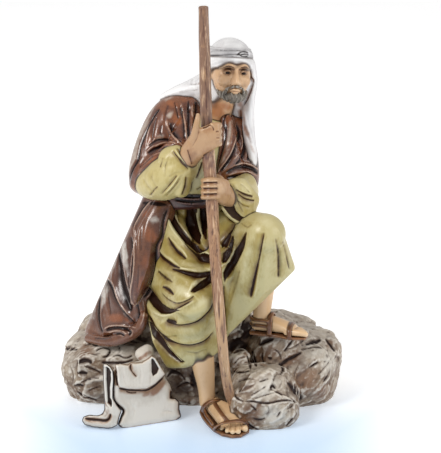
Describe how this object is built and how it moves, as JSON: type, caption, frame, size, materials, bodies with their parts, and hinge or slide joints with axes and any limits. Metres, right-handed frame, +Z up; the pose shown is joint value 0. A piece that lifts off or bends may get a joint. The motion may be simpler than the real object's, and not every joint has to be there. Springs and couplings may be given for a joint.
{
  "type": "nativity guard figurine",
  "caption": "Painted cast figurine of a seated guard in a head cloth, coat and tunic, leaning on a staff, on a base of boulders with a bag.",
  "frame": {"origin": "middle of the flat underside of the base, on the surface it stands on", "axes": "+Z up along the staff, -Y towards the viewer whom the figure faces, +X to that viewer's right"},
  "size_m": [0.1916, 0.1356, 0.2719],
  "materials": {
    "figure": "cast resin, hand painted and glazed, with dark wash in the folds",
    "staff": "painted brown as weathered wood, satin"
  },
  "bodies": {
    "root": {"figure": "figure", "staff": "staff"}
  },
  "joints": []
}
